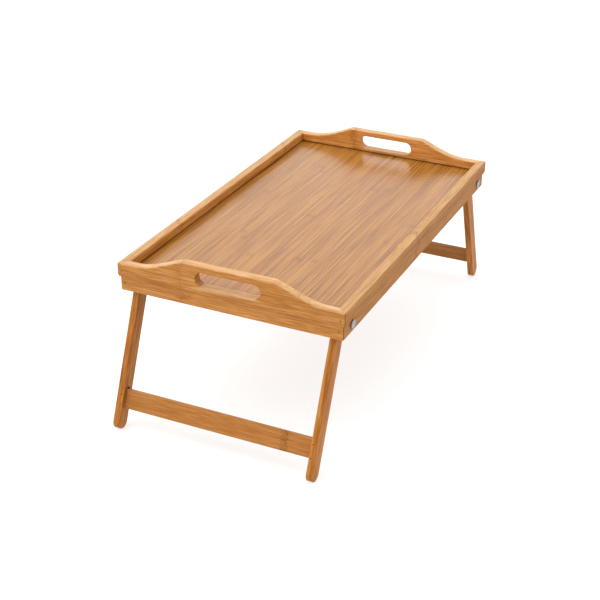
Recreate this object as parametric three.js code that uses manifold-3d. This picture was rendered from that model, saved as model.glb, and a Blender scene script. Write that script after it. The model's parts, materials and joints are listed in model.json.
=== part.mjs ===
// Folding tray table in bamboo: a mitred tray with a handle slot in each raised end panel,
// standing on two leg frames that fold inwards to lie flat under the tray.
//
// Millimetres. +Z is up, X runs along the tray from front to back, Y across it from right to left.
// The origin is on the floor, under the middle of the tray.

import * as THREE from 'three';
import { mergeVertices } from 'three/addons/utils/BufferGeometryUtils.js';
import Module from 'manifold-3d';

const wasm = await Module();
wasm.setup();

// ---- Driving dimensions ----

const GAP = 0.3; // clearance between pieces that touch

const TRAY_LENGTH = 500;
const TRAY_WIDTH = 285;

// The four boards of the tray share one height, thickness and outer moulding.
const BOARD_HEIGHT = 35;
const BOARD_THICKNESS = 11.8;
const MOULDING_STEP = 2.5; // how far the lower part of a board's face lies back
const BEAD_STEP = 1.7; // the part of that step taken by the bead, above the cove
const BEAD_TOP = 13; // depth below the board's top where the face starts to round inwards
const BEAD_BOTTOM = 17.4; // depth where the bead ends and the cove starts
const COVE_BOTTOM = 21.5; // depth where the cove runs out into the set-back face

// Each end panel rises to a level grip, with an ogee curve on each side of it and a slot below it.
// The two panels are cut to patterns of their own, which differ a little.
const GRIP_RISE = 18.2;
const SLOT_HEIGHT = 18;
const PATTERNS = {
  front: {
    middle: 0, // the pattern's middle, from the tray's
    gripHalf: 56.5, // half of the level grip
    endPull: 75, // the ogee's upper control point, from the pattern's middle
    endPullRise: 13.2,
    startPull: 97, // its lower control point, level with the board's top
    start: 118, // where the ogee leaves the board's top
    slotWidth: 82,
    slotRise: 1.3, // centre of the slot above the board's top
  },
  back: {
    middle: 2.5,
    gripHalf: 52.4,
    endPull: 60.4,
    endPullRise: 17.2,
    startPull: 84.3,
    start: 117.1,
    slotWidth: 77,
    slotRise: 2.1,
  },
};

// The tray floor is a thin panel held in a groove round the inside of the boards.
const FLOOR_DEPTH = 12; // the floor's upper face below the board's top
const FLOOR_THICKNESS = 3;
const GROOVE_TOP = 10.4; // the groove's upper edge below the board's top
const GROOVE_DEPTH = 4;
const GROOVE_SPARE = 0.5; // room left between the panel's edge and the bottom of the groove

// Leg frames.
const PIVOT_FROM_END = 26.3;
const PIVOT_DEPTH = 25.2; // pivot axis below the board's top
const LEG_WIDTH = 19;
const LEG_THICKNESS = 8.5;
const LEG_REACH = 183.5; // pivot axis to the end of the foot
const LEG_TO_BOARD = 1.7; // room between board and leg, taken by the spacer washer
const BAR_WIDTH = 23.4;
const BAR_THICKNESS = 6;
const BAR_REACH = 146; // pivot axis to the middle of the cross bar
const MORTISE_DEPTH = 5;
const MORTISE_OVERRUN = 2.3; // how far the mortise's round end runs past the bar's upper edge

// Pivot hardware: M5 bolts with flat heads, washers and lock nuts.
const BOLT_RADIUS = 2.5;
const BOLT_END = 1.5; // bolt thread standing out of the nut
const HEAD_RADIUS = 5.5;
const HEAD_HEIGHT = 1.7;
const CHAMFER = 0.5; // on the bolt's head and tip
const WASHER_RADIUS = 6;
const INNER_WASHER_THICKNESS = 1;
const NUT_ACROSS_FLATS = 8;
const NUT_HEX_HEIGHT = 3.6;
const NUT_COLLAR_RADIUS = 3.6;
const NUT_COLLAR_HEIGHT = 1.4;

// Brads: thin headless nails, set just below the surface.
const BRAD_RADIUS = 0.8;
const BRAD_SET = 0.4;
const CORNER_BRAD_LENGTH = 20;
const END_PANEL_BRADS = [
  { depth: 10, fromSide: 5.6 },
  { depth: 25.5, fromSide: 8 },
];
const RAIL_BRAD = { depth: 5.4, fromEnd: 5.4 };
const LEG_BRAD_LENGTH = 14;
const LEG_BRAD_DROPS = { right: [-6, 10], left: [-5, 7] }; // below the middle of the bar

// Facets on round shapes.
const ARC_STEPS = 12;
const MOULDING_STEPS = 4;
const ROUND_SIDES = 24;
const BRAD_SIDES = 8;
const HEX_SIDES = 6;

// ---- Worked-out sizes ----

const HALF_LENGTH = TRAY_LENGTH / 2;
const HALF_WIDTH = TRAY_WIDTH / 2;
const LEG_RADIUS = LEG_WIDTH / 2; // both ends of a leg are half-round
const BORE_RADIUS = BOLT_RADIUS + GAP;
const BRAD_HOLE_RADIUS = BRAD_RADIUS + GAP;

// A leg opens until its outer face meets the lower inner edge of the end panel.
const STOP_REACH = PIVOT_FROM_END - BOARD_THICKNESS;
const STOP_DROP = BOARD_HEIGHT - PIVOT_DEPTH;
const SPLAY = Math.acos((LEG_RADIUS + GAP) / Math.hypot(STOP_REACH, STOP_DROP))
  - Math.atan2(STOP_DROP, STOP_REACH);

const PIVOT_X = HALF_LENGTH - PIVOT_FROM_END;
const PIVOT_Z = (LEG_REACH - LEG_RADIUS) * Math.cos(SPLAY) + LEG_RADIUS;
const TOP_Z = PIVOT_Z + PIVOT_DEPTH;
const BOTTOM_Z = TOP_Z - BOARD_HEIGHT;
const GRIP_Z = TOP_Z + GRIP_RISE;
const FLOOR_Z = TOP_Z - FLOOR_DEPTH;

// Distances from the tray's middle plane to the things on a pivot bolt, going inwards.
const HEAD_SEAT_Y = HALF_WIDTH - MOULDING_STEP + GAP;
const LEG_OUTER_Y = HALF_WIDTH - BOARD_THICKNESS - LEG_TO_BOARD;
const SPACER_Y = LEG_OUTER_Y + GAP;
const SPACER_THICKNESS = LEG_TO_BOARD - 2 * GAP;
const LEG_INNER_Y = LEG_OUTER_Y - LEG_THICKNESS;
const INNER_WASHER_Y = LEG_INNER_Y - GAP - INNER_WASHER_THICKNESS;
const NUT_HEX_Y = INNER_WASHER_Y - GAP - NUT_HEX_HEIGHT;
const NUT_COLLAR_Y = NUT_HEX_Y - NUT_COLLAR_HEIGHT;
const BOLT_TIP_Y = NUT_COLLAR_Y - BOLT_END;

// Ends and sides are told apart by a sign: -1 is the front or the right, 1 the back or the left.
const SIGNS = [-1, 1];
const endName = (end) => (end < 0 ? 'front' : 'back');
const sideName = (side) => (side < 0 ? 'right' : 'left');
const cornerName = (end, side) => `${endName(end)}_${sideName(side)}`;

// ---- Materials ----

const FINISH = {
  board: { color: 0xc08a58, roughness: 0.5, metalness: 0 },
  panel: { color: 0xca9a6e, roughness: 0.4, metalness: 0 },
  steel: { color: 0xb9bcc0, roughness: 0.3, metalness: 1 },
  nail: { color: 0x6d6a66, roughness: 0.5, metalness: 1 },
};

// ---- Solids ----

function solidOf(geometry) {
  geometry.deleteAttribute('normal');
  geometry.deleteAttribute('uv');
  const merged = mergeVertices(geometry);
  return new wasm.Manifold(new wasm.Mesh({
    numProp: 3,
    vertProperties: new Float32Array(merged.attributes.position.array),
    triVerts: new Uint32Array(merged.index.array),
  }));
}

function geometryOf(solid) {
  const { vertProperties, triVerts } = solid.getMesh();
  const geometry = new THREE.BufferGeometry();
  geometry.setAttribute('position', new THREE.BufferAttribute(new Float32Array(vertProperties), 3));
  geometry.setIndex(new THREE.BufferAttribute(new Uint32Array(triVerts), 1));
  geometry.computeVertexNormals();
  return geometry;
}

function piece(name, solid, finish) {
  const mesh = new THREE.Mesh(geometryOf(solid), new THREE.MeshStandardMaterial(finish));
  mesh.name = name;
  return mesh;
}

function cut(solid, cutters) {
  return cutters.reduce((rest, cutter) => rest.subtract(cutter), solid);
}

function prism(shape, depth) {
  return new THREE.ExtrudeGeometry(shape, { depth, bevelEnabled: false, curveSegments: ARC_STEPS });
}

// A shape drawn in (y, z), swept along X between two places.
function sweptAlongX(shape, fromX, toX) {
  const drawnToWorld = new THREE.Matrix4().makeBasis(
    new THREE.Vector3(0, 1, 0),
    new THREE.Vector3(0, 0, 1),
    new THREE.Vector3(1, 0, 0),
  );
  return solidOf(prism(shape, toX - fromX).applyMatrix4(drawnToWorld).translate(fromX, 0, 0));
}

// A shape drawn in (x, z), swept along Y between two places.
function sweptAlongY(shape, fromY, toY) {
  return solidOf(prism(shape, toY - fromY).rotateX(Math.PI / 2).translate(0, toY, 0));
}

// A shape drawn in (x, y), swept along Z between two places.
function sweptAlongZ(shape, fromZ, toZ) {
  return solidOf(prism(shape, toZ - fromZ).translate(0, 0, fromZ));
}

function rodAlongX(fromX, toX, y, z, radius, sides) {
  const rod = new THREE.CylinderGeometry(radius, radius, toX - fromX, sides);
  return solidOf(rod.rotateZ(Math.PI / 2).translate((fromX + toX) / 2, y, z));
}

function rodAlongY(fromY, toY, x, z, radius, sides) {
  const rod = new THREE.CylinderGeometry(radius, radius, toY - fromY, sides);
  return solidOf(rod.translate(x, (fromY + toY) / 2, z));
}

function polygon(points) {
  return new THREE.Shape(points.map(([a, b]) => new THREE.Vector2(a, b)));
}

function rectangle(halfA, halfB, centreB) {
  return polygon([
    [-halfA, centreB - halfB],
    [halfA, centreB - halfB],
    [halfA, centreB + halfB],
    [-halfA, centreB + halfB],
  ]);
}

// A level slot with half-round ends, in (y, z).
function levelSlot(centreY, centreZ, length, height) {
  const radius = height / 2;
  const straight = length / 2 - radius;
  const outline = new THREE.Shape();
  outline.absarc(centreY + straight, centreZ, radius, -Math.PI / 2, Math.PI / 2, false);
  outline.absarc(centreY - straight, centreZ, radius, Math.PI / 2, 3 * Math.PI / 2, false);
  return outline;
}

// An upright slot with half-round ends, in (x, z), between the centres of its two ends.
function uprightSlot(upperZ, lowerZ, radius) {
  const outline = new THREE.Shape();
  outline.absarc(0, upperZ, radius, 0, Math.PI, false);
  outline.absarc(0, lowerZ, radius, Math.PI, 2 * Math.PI, false);
  return outline;
}

// An upright slot with a half-round upper end and a square lower one, in (x, z).
function archedSlot(topZ, bottomZ, radius) {
  const outline = new THREE.Shape();
  outline.absarc(0, topZ - radius, radius, 0, Math.PI, false);
  outline.lineTo(-radius, bottomZ);
  outline.lineTo(radius, bottomZ);
  return outline;
}

// ---- Brads ----

// The face of a board lies back below the moulding.
function setBackAt(depth) {
  return depth > COVE_BOTTOM ? MOULDING_STEP : 0;
}

function endPanelBrads(end, side) {
  return END_PANEL_BRADS.map(({ depth, fromSide }, row) => {
    const head = HALF_LENGTH - setBackAt(depth) - BRAD_SET;
    return {
      name: `corner_brad_${cornerName(end, side)}_${row + 1}`,
      rod: (extra, radius) => rodAlongX(
        ...ordered(end * (head - CORNER_BRAD_LENGTH - extra), end * (head + extra)),
        side * (HALF_WIDTH - fromSide), TOP_Z - depth, radius, BRAD_SIDES,
      ),
    };
  });
}

function railBrad(end, side) {
  const head = HALF_WIDTH - setBackAt(RAIL_BRAD.depth) - BRAD_SET;
  return {
    name: `corner_brad_${cornerName(end, side)}_${END_PANEL_BRADS.length + 1}`,
    rod: (extra, radius) => rodAlongY(
      ...ordered(side * (head - CORNER_BRAD_LENGTH - extra), side * (head + extra)),
      end * (HALF_LENGTH - RAIL_BRAD.fromEnd), TOP_Z - RAIL_BRAD.depth, radius, BRAD_SIDES,
    ),
  };
}

// Leg brads go in from the outer face of a leg, drawn hanging straight down from its pivot.
function legBrads(end, side) {
  const head = LEG_RADIUS - BRAD_SET;
  return LEG_BRAD_DROPS[sideName(side)].map((drop, row) => ({
    name: `leg_brad_${cornerName(end, side)}_${row + 1}`,
    rod: (extra, radius) => rodAlongX(
      ...ordered(end * (head - LEG_BRAD_LENGTH - extra), end * (head + extra)),
      side * (LEG_INNER_Y + MORTISE_DEPTH / 2), -BAR_REACH - drop, radius, BRAD_SIDES,
    ),
  }));
}

function ordered(a, b) {
  return a < b ? [a, b] : [b, a];
}

function bradPiece(brad) {
  return piece(brad.name, brad.rod(0, BRAD_RADIUS), FINISH.nail);
}

// A hole opens at the face and ends just past the brad's point.
function bradHole(brad) {
  return brad.rod(BRAD_SET + GAP, BRAD_HOLE_RADIUS);
}

const CORNER_BRADS = SIGNS.flatMap((end) => SIGNS.flatMap((side) => [
  ...endPanelBrads(end, side),
  railBrad(end, side),
]));

// ---- Tray ----

// The moulding's quarter-round bead and the hollow cove below it.
function mouldingPoints() {
  const turns = Array.from({ length: MOULDING_STEPS + 1 }, (_, step) => (
    (step / MOULDING_STEPS) * (Math.PI / 2)
  ));
  const bead = turns.map((turn) => [
    BEAD_STEP * (1 - Math.cos(turn)),
    TOP_Z - BEAD_TOP - (BEAD_BOTTOM - BEAD_TOP) * Math.sin(turn),
  ]);
  const cove = turns.map((turn) => [
    BEAD_STEP + (MOULDING_STEP - BEAD_STEP) * Math.sin(turn),
    TOP_Z - BEAD_BOTTOM - (COVE_BOTTOM - BEAD_BOTTOM) * (1 - Math.cos(turn)),
  ]);
  return [...bead, ...cove.slice(1)];
}

// Section of a board, as [distance in from the tray's outer side, height] points.
function boardSection(topZ) {
  const grooveBack = BOARD_THICKNESS - GROOVE_DEPTH;
  const grooveBottomZ = FLOOR_Z - FLOOR_THICKNESS - GAP;
  return [
    [0, topZ],
    ...mouldingPoints(),
    [MOULDING_STEP, BOTTOM_Z],
    [BOARD_THICKNESS, BOTTOM_Z],
    [BOARD_THICKNESS, grooveBottomZ],
    [grooveBack, grooveBottomZ],
    [grooveBack, TOP_Z - GROOVE_TOP],
    [BOARD_THICKNESS, TOP_Z - GROOVE_TOP],
    [BOARD_THICKNESS, topZ],
  ];
}

// Plan of a board mitred at 45 degrees at both ends, as [along, across] points.
function mitredPlan(halfLong, outerFace) {
  const halfOuter = halfLong - GAP / Math.SQRT2;
  const width = BOARD_THICKNESS + GAP;
  return [
    [-halfOuter, outerFace],
    [halfOuter, outerFace],
    [halfOuter - width, outerFace - width],
    [-(halfOuter - width), outerFace - width],
  ];
}

// Front view of an end panel in (y, z): the raised grip, its two ogee curves and the handle slot.
function endPanelOutline(pattern) {
  const { middle } = pattern;
  const pulledZ = TOP_Z + pattern.endPullRise;
  const outline = new THREE.Shape();
  outline.moveTo(-HALF_WIDTH, BOTTOM_Z);
  outline.lineTo(HALF_WIDTH, BOTTOM_Z);
  outline.lineTo(HALF_WIDTH, TOP_Z);
  outline.lineTo(middle + pattern.start, TOP_Z);
  outline.bezierCurveTo(
    middle + pattern.startPull, TOP_Z,
    middle + pattern.endPull, pulledZ,
    middle + pattern.gripHalf, GRIP_Z,
  );
  outline.lineTo(middle - pattern.gripHalf, GRIP_Z);
  outline.bezierCurveTo(
    middle - pattern.endPull, pulledZ,
    middle - pattern.startPull, TOP_Z,
    middle - pattern.start, TOP_Z,
  );
  outline.lineTo(-HALF_WIDTH, TOP_Z);
  outline.holes.push(levelSlot(middle, TOP_Z + pattern.slotRise, pattern.slotWidth, SLOT_HEIGHT));
  return outline;
}

// Each board is made on the positive side and mirrored where it belongs on the other.
function endPanel(end) {
  const section = polygon(boardSection(GRIP_Z).map(([inwards, z]) => [HALF_LENGTH - inwards, z]));
  const plan = polygon(mitredPlan(HALF_WIDTH, HALF_LENGTH).map(([y, x]) => [x, y]));
  const board = sweptAlongY(section, -HALF_WIDTH, HALF_WIDTH)
    .intersect(sweptAlongX(endPanelOutline(PATTERNS[endName(end)]), 0, TRAY_LENGTH))
    .intersect(sweptAlongZ(plan, 0, GRIP_Z + GAP));
  const placed = end < 0 ? board.mirror([1, 0, 0]) : board;
  return piece(`${endName(end)}_end_panel`, cut(placed, CORNER_BRADS.map(bradHole)), FINISH.board);
}

function longRail(side) {
  const section = polygon(boardSection(TOP_Z).map(([inwards, z]) => [HALF_WIDTH - inwards, z]));
  const plan = polygon(mitredPlan(HALF_LENGTH, HALF_WIDTH));
  const boltHoles = SIGNS.map((end) => rodAlongY(
    LEG_OUTER_Y, TRAY_WIDTH, end * PIVOT_X, PIVOT_Z, BORE_RADIUS, ROUND_SIDES,
  ));
  const headSeats = SIGNS.map((end) => rodAlongY(
    HALF_WIDTH - MOULDING_STEP, TRAY_WIDTH, end * PIVOT_X, PIVOT_Z, HEAD_RADIUS + GAP, ROUND_SIDES,
  ));
  const board = sweptAlongX(section, -HALF_LENGTH, HALF_LENGTH)
    .intersect(sweptAlongZ(plan, 0, GRIP_Z));
  const bored = cut(board, [...boltHoles, ...headSeats]);
  const placed = side < 0 ? bored.mirror([0, 1, 0]) : bored;
  return piece(`${sideName(side)}_long_rail`, cut(placed, CORNER_BRADS.map(bradHole)), FINISH.board);
}

function trayFloor() {
  const inset = BOARD_THICKNESS - GROOVE_DEPTH + GROOVE_SPARE;
  const plan = rectangle(HALF_LENGTH - inset, HALF_WIDTH - inset, 0);
  return piece('tray_floor', sweptAlongZ(plan, FLOOR_Z - FLOOR_THICKNESS, FLOOR_Z), FINISH.panel);
}

// ---- Leg frames, drawn hanging straight down from the pivot axis ----

function legSolid(end, side) {
  const blank = sweptAlongY(
    uprightSlot(0, LEG_RADIUS - LEG_REACH, LEG_RADIUS), LEG_INNER_Y, LEG_OUTER_Y,
  );
  const bore = rodAlongY(0, TRAY_WIDTH, 0, 0, BORE_RADIUS, ROUND_SIDES);
  const mortiseTop = -BAR_REACH + BAR_WIDTH / 2 + MORTISE_OVERRUN;
  const mortiseBottom = -BAR_REACH - BAR_WIDTH / 2 - GAP;
  const mortise = sweptAlongY(
    archedSlot(mortiseTop, mortiseBottom, BAR_THICKNESS / 2 + GAP), 0, LEG_INNER_Y + MORTISE_DEPTH,
  );
  const leg = cut(blank, [bore, mortise]);
  return cut(side < 0 ? leg.mirror([0, 1, 0]) : leg, legBrads(end, side).map(bradHole));
}

function crossBarSolid(end) {
  const halfSpan = LEG_INNER_Y + MORTISE_DEPTH - GAP;
  const section = rectangle(BAR_THICKNESS / 2, BAR_WIDTH / 2, -BAR_REACH);
  const holes = SIGNS.flatMap((side) => legBrads(end, side).map(bradHole));
  return cut(sweptAlongY(section, -halfSpan, halfSpan), holes);
}

function legFrame(end) {
  const frame = new THREE.Group();
  frame.add(piece(`${endName(end)}_cross_bar`, crossBarSolid(end), FINISH.board));
  for (const side of SIGNS) {
    frame.add(piece(`${cornerName(end, side)}_leg`, legSolid(end, side), FINISH.board));
    frame.add(...legBrads(end, side).map(bradPiece));
  }
  frame.position.set(end * PIVOT_X, 0, PIVOT_Z);
  frame.rotation.y = -end * SPLAY;
  return frame;
}

// ---- Pivot hardware ----

// Turns a profile of [radius, distance from the tray's middle plane] points round the pivot axis.
function turned(profile) {
  const points = profile.map(([radius, y]) => new THREE.Vector2(radius, y));
  return solidOf(new THREE.LatheGeometry(points, ROUND_SIDES));
}

function boltSolid() {
  return turned([
    [0, BOLT_TIP_Y],
    [BOLT_RADIUS - CHAMFER, BOLT_TIP_Y],
    [BOLT_RADIUS, BOLT_TIP_Y + CHAMFER],
    [BOLT_RADIUS, HEAD_SEAT_Y],
    [HEAD_RADIUS, HEAD_SEAT_Y],
    [HEAD_RADIUS, HEAD_SEAT_Y + HEAD_HEIGHT - CHAMFER],
    [HEAD_RADIUS - CHAMFER, HEAD_SEAT_Y + HEAD_HEIGHT],
    [0, HEAD_SEAT_Y + HEAD_HEIGHT],
  ]);
}

function washerSolid(y, thickness) {
  return turned([
    [BORE_RADIUS, y],
    [WASHER_RADIUS, y],
    [WASHER_RADIUS, y + thickness],
    [BORE_RADIUS, y + thickness],
    [BORE_RADIUS, y],
  ]);
}

function lockNutSolid() {
  const hexRadius = NUT_ACROSS_FLATS / Math.sqrt(3);
  const hexTopY = NUT_HEX_Y + NUT_HEX_HEIGHT;
  const hex = rodAlongY(NUT_HEX_Y, hexTopY, 0, 0, hexRadius, HEX_SIDES);
  const collar = rodAlongY(NUT_COLLAR_Y, NUT_HEX_Y + GAP, 0, 0, NUT_COLLAR_RADIUS, ROUND_SIDES);
  const bore = rodAlongY(BOLT_TIP_Y, LEG_INNER_Y, 0, 0, BORE_RADIUS, ROUND_SIDES);
  return hex.add(collar).subtract(bore);
}

function pivotHardware(end, side) {
  const solids = {
    pivot_bolt: boltSolid(),
    spacer_washer: washerSolid(SPACER_Y, SPACER_THICKNESS),
    inner_washer: washerSolid(INNER_WASHER_Y, INNER_WASHER_THICKNESS),
    lock_nut: lockNutSolid(),
  };
  return Object.entries(solids).map(([name, solid]) => {
    const mesh = piece(
      `${name}_${cornerName(end, side)}`, side < 0 ? solid.mirror([0, 1, 0]) : solid, FINISH.steel,
    );
    mesh.position.set(end * PIVOT_X, 0, PIVOT_Z);
    return mesh;
  });
}

// ---- Assembly ----

const table = new THREE.Group();
table.add(trayFloor(), ...CORNER_BRADS.map(bradPiece));
table.add(...SIGNS.map(endPanel), ...SIGNS.map(longRail), ...SIGNS.map(legFrame));
for (const end of SIGNS) {
  for (const side of SIGNS) {
    table.add(...pivotHardware(end, side));
  }
}

export default table;
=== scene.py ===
"""Looks of the bamboo folding tray table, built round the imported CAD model.

Metres, in the CAD's frame: +Z up, -X the front end, -Y the right side. Each CAD node gets one
detailed piece with eased edges, cut joints and a procedural material, riding on the node's body.
"""

import json
import math

import bmesh
import bpy
import numpy as np
from mathutils import Matrix, Vector


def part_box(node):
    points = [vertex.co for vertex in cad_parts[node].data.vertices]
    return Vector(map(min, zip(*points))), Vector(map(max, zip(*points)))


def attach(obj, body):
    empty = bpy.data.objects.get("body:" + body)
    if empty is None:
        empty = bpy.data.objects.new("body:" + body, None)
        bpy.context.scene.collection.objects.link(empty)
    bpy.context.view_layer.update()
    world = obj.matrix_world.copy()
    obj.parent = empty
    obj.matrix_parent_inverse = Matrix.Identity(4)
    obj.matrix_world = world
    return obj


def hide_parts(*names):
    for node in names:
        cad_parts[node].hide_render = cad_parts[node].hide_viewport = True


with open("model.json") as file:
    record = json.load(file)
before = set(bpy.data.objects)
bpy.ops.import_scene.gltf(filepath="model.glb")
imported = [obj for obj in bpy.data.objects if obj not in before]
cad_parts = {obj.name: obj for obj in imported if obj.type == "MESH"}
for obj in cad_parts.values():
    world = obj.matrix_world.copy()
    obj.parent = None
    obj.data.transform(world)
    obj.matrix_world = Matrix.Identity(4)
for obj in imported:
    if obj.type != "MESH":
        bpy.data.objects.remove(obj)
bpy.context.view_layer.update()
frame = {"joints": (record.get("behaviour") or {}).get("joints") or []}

MM = 0.001
TINY = 1e-6  # two places nearer than this are taken to be the same
ENDS = {"front": -1, "back": 1}
SIDES = {"right": -1, "left": 1}
CORNERS = [
    (f"{end_name}_{side_name}", end, side)
    for end_name, end in ENDS.items()
    for side_name, side in SIDES.items()
]
SQUARE = ((-1, -1), (1, -1), (1, 1), (-1, 1))

# ---- Sizes read from the frame ----

RAIL_LOW, RAIL_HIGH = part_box("left_long_rail")
PANEL_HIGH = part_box("back_end_panel")[1]
FLOOR_LOW, FLOOR_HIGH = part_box("tray_floor")
HALF_LENGTH = PANEL_HIGH.x
HALF_WIDTH = RAIL_HIGH.y
THICKNESS = RAIL_HIGH.y - RAIL_LOW.y
TOP_Z = RAIL_HIGH.z
BOTTOM_Z = RAIL_LOW.z
GRIP_RISE = PANEL_HIGH.z - TOP_Z

PIVOTS = {ENDS[joint["name"].split("_")[0]]: Vector(joint["pos_m"]) for joint in frame["joints"]}

# ---- Shape details, the same as the CAD's ----

GAP = 0.3 * MM  # clearance between pieces that touch
MOULDING_STEP = 2.5 * MM  # how far the lower part of a board's face lies back
BEAD_STEP = 1.7 * MM
BEAD_TOP = 13 * MM  # the moulding's heights, as depths below the board's top
BEAD_BOTTOM = 17.4 * MM
COVE_BOTTOM = 21.5 * MM
GROOVE_TOP = 10.4 * MM
GROOVE_DEPTH = 4 * MM
SLOT_HEIGHT = 18 * MM
# Millimetres: the ogee curves, level grip and slot of each end panel.
PATTERNS = {
    "front": {
        "middle": 0, "grip_half": 56.5, "end_pull": 75, "end_pull_rise": 13.2, "start_pull": 97,
        "start": 118, "slot_width": 82, "slot_rise": 1.3,
    },
    "back": {
        "middle": 2.5, "grip_half": 52.4, "end_pull": 60.4, "end_pull_rise": 17.2, "start_pull": 84.3,
        "start": 117.1, "slot_width": 77, "slot_rise": 2.1,
    },
}
LEG_WIDTH = 19 * MM
LEG_REACH = 183.5 * MM  # pivot axis to the end of the foot
BAR_WIDTH = 23.4 * MM
BAR_THICKNESS = 6 * MM
BAR_REACH = 146 * MM  # pivot axis to the middle of the cross bar
MORTISE_DEPTH = 5 * MM
MORTISE_OVERRUN = 2.3 * MM  # how far the mortise's round end runs past the bar's upper edge
BORE_RADIUS = 2.8 * MM
SHANK_RADIUS = 2.5 * MM
HEAD_HEIGHT = 1.7 * MM
NUT_ACROSS_FLATS = 8 * MM
NUT_HEX_HEIGHT = 3.6 * MM
NUT_COLLAR_RADIUS = 3.6 * MM
BRAD_RADIUS = 0.8 * MM
BRAD_SET = 0.4 * MM  # depth of a brad's head below the wood
LEG_BRAD_LENGTH = 14 * MM
LEG_BRAD_DROPS = {-1: (-6 * MM, 10 * MM), 1: (-5 * MM, 7 * MM)}  # below the bar's middle, right and left

# ---- Details that only the looks have ----

TOP_ARRIS = 1.7 * MM  # rounding of the boards' top edges
BOTTOM_ARRIS = 0.7 * MM
CORNER_ROUND = 1.4 * MM  # rounding of the tray's four upright corners
CORNER_CLEAR = TOP_ARRIS + 1.2 * CORNER_ROUND  # depth from which a board's top is clear of that
COVE_STEP = BEAD_STEP + 0.3 * MM  # depth of the cove's upper end
QUIRK_DEPTH = 0.6 * MM  # the fine groove between the bead and the cove
QUIRK_WIDTH = 0.35 * MM
SLOT_ARRIS = 0.5 * MM
SILL_BAND = 1.05 * SLOT_ARRIS  # how far from its level a point may lie on the slot's lower side
SILL_END = SLOT_HEIGHT / 3  # how far that side stops short of the slot's ends
MITRE_SHADOW_REACH = 0.55 * MM  # how far the painted shadow line at a mitred corner reaches into the wood
MITRE_SHADOW_TOP_FADE = 0.7  # how much of that painted shadow line is left off the boards' tops
FLOOR_CHAMFER = 0.5 * MM
LEG_ARRIS = 0.9 * MM
BAR_ARRIS = 0.8 * MM
BAR_END_ARRIS = 0.4 * MM
BRAD_HOLE_RADIUS = 0.9 * MM
CORNER_HOLE_PAST = 0.5 * MM  # how far a brad's hole shows past its head
LEG_HOLE_PAST = 1.0 * MM
OVERCUT = 2 * MM  # how far a cutter reaches past the face that it cuts

ARC_STEPS = 5
SMALL_ARC_STEPS = 3
CORNER_STEPS = 4
MOULDING_STEPS = 6
OGEE_STEPS = 22
SLOT_STEPS = 16
ROUND_SIDES = 40
NUT_SIDES = 48
BRAD_SIDES = 16
SMOOTH_ANGLE = math.radians(32)
MERGE_DISTANCE = 1e-7
NORMALS_BY_AREA = 100  # the weight that lets the larger faces set the shading most
BISECTIONS = 40

# ---- Worked-out sizes ----

MITRE_SETBACK = GAP / math.sqrt(2)  # of a board's end, along the board
LEG_RADIUS = LEG_WIDTH / 2  # both ends of a leg are half-round
LEG_LOW_Y, LEG_HIGH_Y = (corner.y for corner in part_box("front_left_leg"))
SPLAY = math.acos((PIVOTS[1].z - LEG_RADIUS) / (LEG_REACH - LEG_RADIUS))


def frame_name(end):
    return "front_leg_frame" if end < 0 else "back_leg_frame"


def pivot_shift(end):
    return Matrix.Translation((PIVOTS[end].x, 0, PIVOTS[end].z))


# ---- Mesh helpers ----

def arc(centre, radius, start, end, steps):
    """Points on an arc in a plane, from one angle in degrees to another."""
    return [
        (centre[0] + radius * math.cos(angle), centre[1] + radius * math.sin(angle))
        for angle in np.radians(np.linspace(start, end, steps + 1))
    ]


def quarter_turns(steps=ARC_STEPS):
    """Evenly spread angles from 0 to a right angle."""
    return np.linspace(0, math.pi / 2, steps + 1)


def full_turns(sides):
    """Evenly spread angles once round."""
    return np.linspace(0, math.tau, sides + 1)[:-1]


def y_ring(radius, y, sides=ROUND_SIDES):
    """A circle of points round the Y axis."""
    return [(radius * math.cos(a), y, radius * math.sin(a)) for a in full_turns(sides)]


def mesh_object(name, points, faces):
    """A closed mesh as a new object, with its normals turned outwards."""
    mesh = bpy.data.meshes.new(name)
    mesh.from_pydata([tuple(p) for p in points], [], faces)
    shape = bmesh.new()
    shape.from_mesh(mesh)
    bmesh.ops.remove_doubles(shape, verts=shape.verts, dist=MERGE_DISTANCE)
    bmesh.ops.recalc_face_normals(shape, faces=shape.faces)
    shape.to_mesh(mesh)
    shape.free()
    made = bpy.data.objects.new(name, mesh)
    bpy.context.scene.collection.objects.link(made)
    return made


def skinned(name, loops):
    """Skins closed loops, each with the same number of points, and caps the first and the last."""
    count = len(loops[0])
    last = len(loops) * count
    faces = [
        (row + j, row + (j + 1) % count, row + count + (j + 1) % count, row + count + j)
        for row in range(0, last - count, count)
        for j in range(count)
    ]
    faces.append(tuple(range(count)))
    faces.append(tuple(range(last - count, last)))
    return mesh_object(name, [p for loop in loops for p in loop], faces)


def ringed(name, loops):
    """Skins closed loops that lead from the last back to the first, as round a washer's section."""
    count, total = len(loops[0]), len(loops)

    def at(row, j):
        return (row % total) * count + j % count

    faces = [
        (at(row, j), at(row, j + 1), at(row + 1, j + 1), at(row + 1, j))
        for row in range(total)
        for j in range(count)
    ]
    return mesh_object(name, [p for loop in loops for p in loop], faces)


def rod(start, end, radius, sides=ROUND_SIDES):
    """A round cutter between two points."""
    start, end = Vector(start), Vector(end)
    turn = (end - start).to_track_quat("Z", "Y").to_matrix()
    circle = [
        turn @ Vector((radius * math.cos(a), radius * math.sin(a), 0)) for a in full_turns(sides)
    ]
    return skinned("cutter", [[start + p for p in circle], [end + p for p in circle]])


def stadium(half_straight, radius):
    """Outline of a slot with half-round ends, as (along, across) points."""
    right = arc((half_straight, 0), radius, -90, 90, SLOT_STEPS)
    left = arc((-half_straight, 0), radius, 90, 270, SLOT_STEPS)
    return right + left


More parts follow.
